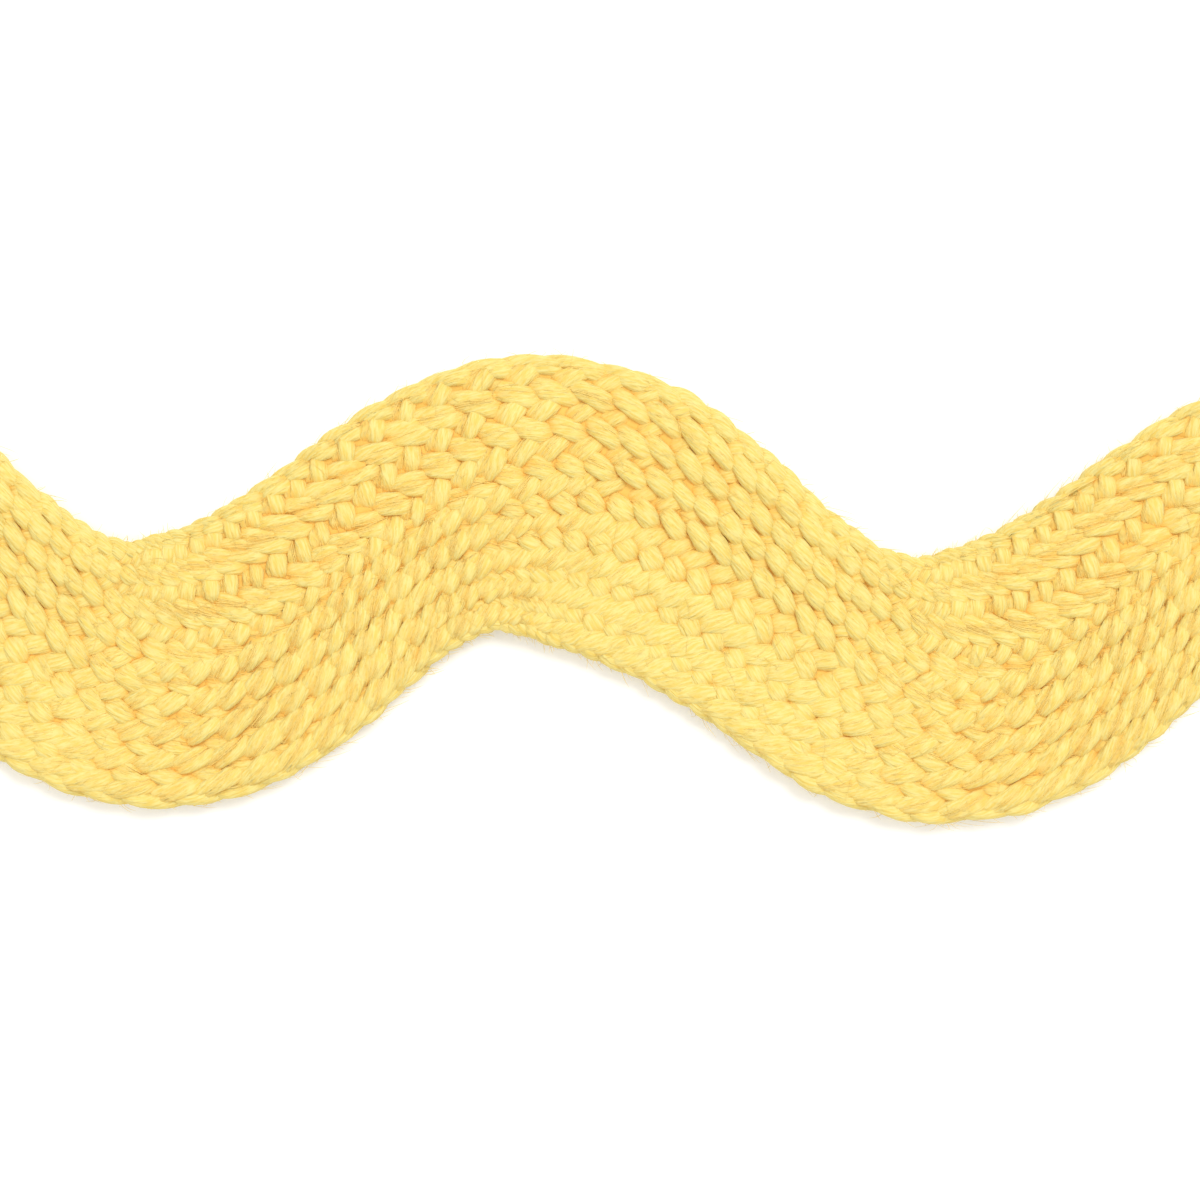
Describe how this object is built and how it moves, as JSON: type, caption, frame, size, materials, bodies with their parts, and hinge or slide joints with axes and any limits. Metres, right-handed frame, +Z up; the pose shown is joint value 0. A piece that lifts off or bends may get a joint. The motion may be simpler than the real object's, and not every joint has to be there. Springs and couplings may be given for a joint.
{
  "type": "cut length of ric rac braid",
  "caption": "Wavy flat cotton braid trimming, a cut length lying flat, with rope-like edges and ribs that swap sides along each wave.",
  "frame": {"origin": "on the underside, below the middle of the part's box", "axes": "+X along the length of the trimming, +Y across it from one wavy edge to the other, +Z up out of its face"},
  "size_m": [0.1264, 0.0246, 0.002],
  "materials": {
    "yellow_cotton": "soft matte cotton yarn, dyed butter yellow"
  },
  "bodies": {
    "root": {"ric_rac_braid": "yellow_cotton"}
  },
  "joints": []
}
